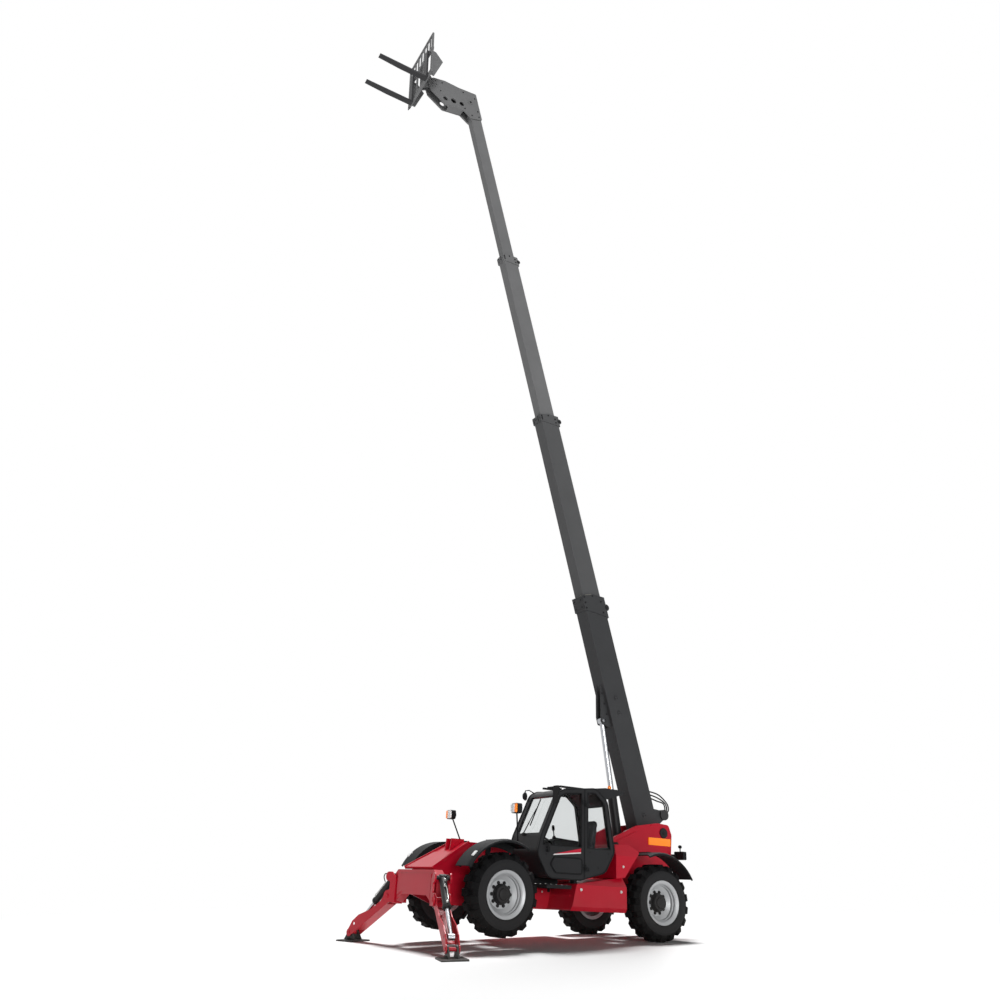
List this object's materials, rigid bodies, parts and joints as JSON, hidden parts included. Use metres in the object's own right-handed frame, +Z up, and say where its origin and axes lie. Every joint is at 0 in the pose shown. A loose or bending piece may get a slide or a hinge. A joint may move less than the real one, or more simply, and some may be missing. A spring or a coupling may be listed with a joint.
{
  "type": "telehandler",
  "caption": "Four-wheel-steer telescopic handler standing on front stabilisers, boom raised and run out, with fork carriage, side cab and red body.",
  "frame": {"origin": "on the ground, under the middle of the whole part's box", "axes": "+X forward to the fork tips, +Y to the machine's left, +Z up"},
  "size_m": [7.0373, 4.074, 18.9693],
  "materials": {
    "red_paint": "gloss",
    "charcoal_paint": "satin",
    "black_paint": "satin",
    "black_plastic": "moulded",
    "chrome_rod": "polished",
    "silver_paint": "satin",
    "tyre_rubber": "matt",
    "cab_glazing": "clear",
    "seat_cover": "woven",
    "fork_steel": "satin",
    "clear_lens": "clear",
    "amber_lens": "clear amber",
    "engine_iron": "painted"
  },
  "bodies": {
    "chassis": {"main_frame": "red_paint", "nose_frame": "red_paint", "rear_tower": "red_paint", "engine_block": "engine_iron", "engine_tray": "red_paint", "side_box": "red_paint", "side_panel": "red_paint", "cab_floor": "charcoal_paint", "cab_front": "charcoal_paint", "cab_rear": "charcoal_paint", "cab_right_wall": "charcoal_paint", "cab_quarter": "charcoal_paint", "cab_roof": "charcoal_paint", "cab_glass": "cab_glazing", "seat": "seat_cover", "steering_column": "black_plastic", "front_axle": "black_paint", "rear_axle": "black_paint", "fenders": "black_plastic", "lamps": "black_plastic", "lamp_lenses": "clear_lens", "amber_lenses": "amber_lens", "mirrors": "black_plastic", "wiper": "black_plastic", "steps": "black_plastic"},
    "hood": {"hood": "red_paint"},
    "cab_door": {"door": "charcoal_paint", "door_glass": "cab_glazing"},
    "boom_base": {"boom_base": "charcoal_paint"},
    "boom_second": {"boom_second": "charcoal_paint"},
    "boom_third": {"boom_third": "charcoal_paint"},
    "boom_fourth": {"boom_fourth": "charcoal_paint"},
    "carriage": {"carriage": "charcoal_paint", "forks": "fork_steel"},
    "tilt_barrel": {"tilt_barrel": "black_paint"},
    "tilt_rod": {"tilt_rod": "chrome_rod"},
    "lift_barrel": {"lift_barrel": "black_paint"},
    "lift_rod": {"lift_rod": "chrome_rod"},
    "front_left_hub": {"front_left_knuckle": "black_paint"},
    "front_left_wheel": {"front_left_tyre": "tyre_rubber", "front_left_rim": "silver_paint"},
    "front_right_hub": {"front_right_knuckle": "black_paint"},
    "front_right_wheel": {"front_right_tyre": "tyre_rubber", "front_right_rim": "silver_paint"},
    "rear_left_hub": {"rear_left_knuckle": "black_paint"},
    "rear_left_wheel": {"rear_left_tyre": "tyre_rubber", "rear_left_rim": "silver_paint"},
    "rear_right_hub": {"rear_right_knuckle": "black_paint"},
    "rear_right_wheel": {"rear_right_tyre": "tyre_rubber", "rear_right_rim": "silver_paint"},
    "left_leg": {"left_leg": "red_paint"},
    "left_pad": {"left_pad": "black_paint"},
    "left_leg_barrel": {"left_leg_barrel": "black_paint"},
    "left_leg_rod": {"left_leg_rod": "chrome_rod"},
    "right_leg": {"right_leg": "red_paint"},
    "right_pad": {"right_pad": "black_paint"},
    "right_leg_barrel": {"right_leg_barrel": "black_paint"},
    "right_leg_rod": {"right_leg_rod": "chrome_rod"}
  },
  "joints": [
    {"name": "front_left_steer", "type": "hinge", "parent": "chassis", "child": "front_left_hub", "pos_m": [0.69893, 0.8, 0.76458], "axis": [-0.0569, 0, 0.9984], "range_deg": [-32, 32]},
    {"name": "front_left_spin", "type": "hinge", "parent": "front_left_hub", "child": "front_left_wheel", "pos_m": [0.69893, 0.99, 0.76458], "axis": [0, 1, 0], "continuous": true},
    {"name": "front_right_steer", "type": "hinge", "parent": "chassis", "child": "front_right_hub", "pos_m": [0.69893, -0.8, 0.76458], "axis": [-0.0569, 0, 0.9984], "range_deg": [-32, 32]},
    {"name": "front_right_spin", "type": "hinge", "parent": "front_right_hub", "child": "front_right_wheel", "pos_m": [0.69893, -0.99, 0.76458], "axis": [0, 1, 0], "continuous": true},
    {"name": "rear_left_steer", "type": "hinge", "parent": "chassis", "child": "rear_left_hub", "pos_m": [-2.3661, 0.8, 0.59], "axis": [-0.0569, 0, 0.9984], "range_deg": [-32, 32]},
    {"name": "rear_left_spin", "type": "hinge", "parent": "rear_left_hub", "child": "rear_left_wheel", "pos_m": [-2.3661, 0.99, 0.59], "axis": [0, 1, 0], "continuous": true},
    {"name": "rear_right_steer", "type": "hinge", "parent": "chassis", "child": "rear_right_hub", "pos_m": [-2.3661, -0.8, 0.59], "axis": [-0.0569, 0, 0.9984], "range_deg": [-32, 32]},
    {"name": "rear_right_spin", "type": "hinge", "parent": "rear_right_hub", "child": "rear_right_wheel", "pos_m": [-2.3661, -0.99, 0.59], "axis": [0, 1, 0], "continuous": true},
    {"name": "boom_lift", "type": "hinge", "parent": "chassis", "child": "boom_base", "pos_m": [-3.1185, 0, 1.70101], "axis": [0, -1, 0], "range_deg": [-72.9, 0]},
    {"name": "telescope_second", "type": "slide", "parent": "boom_base", "child": "boom_second", "axis": [0.2358, 0, 0.9718], "range_m": [-3.74, 0]},
    {"name": "telescope_third", "type": "slide", "parent": "boom_second", "child": "boom_third", "axis": [0.2358, 0, 0.9718], "range_m": [-3.74, 0]},
    {"name": "telescope_fourth", "type": "slide", "parent": "boom_third", "child": "boom_fourth", "axis": [0.2358, 0, 0.9718], "range_m": [-3.74, 0]},
    {"name": "lift_barrel_swing", "type": "hinge", "parent": "chassis", "child": "lift_barrel", "pos_m": [-2.47213, 0, 1.04471], "axis": [0, -1, 0], "range_deg": [-71.23, 0]},
    {"name": "lift_rod_slide", "type": "slide", "parent": "lift_barrel", "child": "lift_rod", "axis": [0.1131, 0, 0.9936], "range_m": [-1.0948, 0]},
    {"name": "carriage_tilt", "type": "hinge", "parent": "boom_fourth", "child": "carriage", "pos_m": [1.98301, 0, 18.05933], "axis": [0, 1, 0], "range_deg": [-88.36, 37.64]},
    {"name": "tilt_barrel_swing", "type": "hinge", "parent": "boom_fourth", "child": "tilt_barrel", "pos_m": [0.98906, 0, 17.99182], "axis": [0, 1, 0], "range_deg": [-4.71, 2.01]},
    {"name": "tilt_rod_slide", "type": "slide", "parent": "tilt_barrel", "child": "tilt_rod", "axis": [0.9734, 0, 0.229], "range_m": [-0.2774, 0.1193]},
    {"name": "left_leg_fold", "type": "hinge", "parent": "chassis", "child": "left_leg", "pos_m": [1.63396, 0.86, 0.70265], "axis": [-0.963, 0.2639, -0.0549], "range_deg": [-106.7, 0]},
    {"name": "left_pad_swivel", "type": "hinge", "parent": "left_leg", "child": "left_pad", "pos_m": [1.91854, 1.7795, 0.13], "axis": [-0.963, 0.2639, -0.0549], "range_deg": [-20, 20]},
    {"name": "left_leg_barrel_swing", "type": "hinge", "parent": "chassis", "child": "left_leg_barrel", "pos_m": [1.61719, 0.86, 0.99718], "axis": [-0.963, 0.2639, -0.0549], "range_deg": [-115.17, 0]},
    {"name": "left_leg_rod_slide", "type": "slide", "parent": "left_leg_barrel", "child": "left_leg_rod", "axis": [0.235, 0.7227, -0.65], "range_m": [-0.4581, 0]},
    {"name": "right_leg_fold", "type": "hinge", "parent": "chassis", "child": "right_leg", "pos_m": [1.63396, -0.86, 0.70265], "axis": [0.963, 0.2639, 0.0549], "range_deg": [-106.7, 0]},
    {"name": "right_pad_swivel", "type": "hinge", "parent": "right_leg", "child": "right_pad", "pos_m": [1.91854, -1.7795, 0.13], "axis": [0.963, 0.2639, 0.0549], "range_deg": [-20, 20]},
    {"name": "right_leg_barrel_swing", "type": "hinge", "parent": "chassis", "child": "right_leg_barrel", "pos_m": [1.61719, -0.86, 0.99718], "axis": [0.963, 0.2639, 0.0549], "range_deg": [-115.17, 0]},
    {"name": "right_leg_rod_slide", "type": "slide", "parent": "right_leg_barrel", "child": "right_leg_rod", "axis": [0.235, -0.7227, -0.65], "range_m": [-0.4581, 0]},
    {"name": "cab_door_swing", "type": "hinge", "parent": "chassis", "child": "cab_door", "pos_m": [-0.8424, 1.135, 1.58826], "axis": [-0.0569, 0, 0.9984], "range_deg": [0, 85]},
    {"name": "hood_lift", "type": "hinge", "parent": "chassis", "child": "hood", "pos_m": [-0.81646, -0.41, 1.51963], "axis": [-0.9984, 0, -0.0569], "range_deg": [0, 65]}
  ],
  "couplings": [
    {"joint": "front_right_steer", "follows": "front_left_steer", "ratio": 1},
    {"joint": "rear_right_steer", "follows": "rear_left_steer", "ratio": 1},
    {"joint": "telescope_third", "follows": "telescope_second", "ratio": 1},
    {"joint": "telescope_fourth", "follows": "telescope_second", "ratio": 1},
    {"joint": "lift_barrel_swing", "follows": "boom_lift", "ratio": 0.97636},
    {"joint": "lift_rod_slide", "follows": "boom_lift", "m_per_rad": 0.85889},
    {"joint": "tilt_barrel_swing", "follows": "carriage_tilt", "ratio": 0.053167},
    {"joint": "tilt_rod_slide", "follows": "carriage_tilt", "m_per_rad": 0.17859},
    {"joint": "left_leg_barrel_swing", "follows": "left_leg_fold", "ratio": 1.0789},
    {"joint": "left_leg_rod_slide", "follows": "left_leg_fold", "m_per_rad": 0.24489},
    {"joint": "right_leg_barrel_swing", "follows": "right_leg_fold", "ratio": 1.0789},
    {"joint": "right_leg_rod_slide", "follows": "right_leg_fold", "m_per_rad": 0.24489}
  ]
}
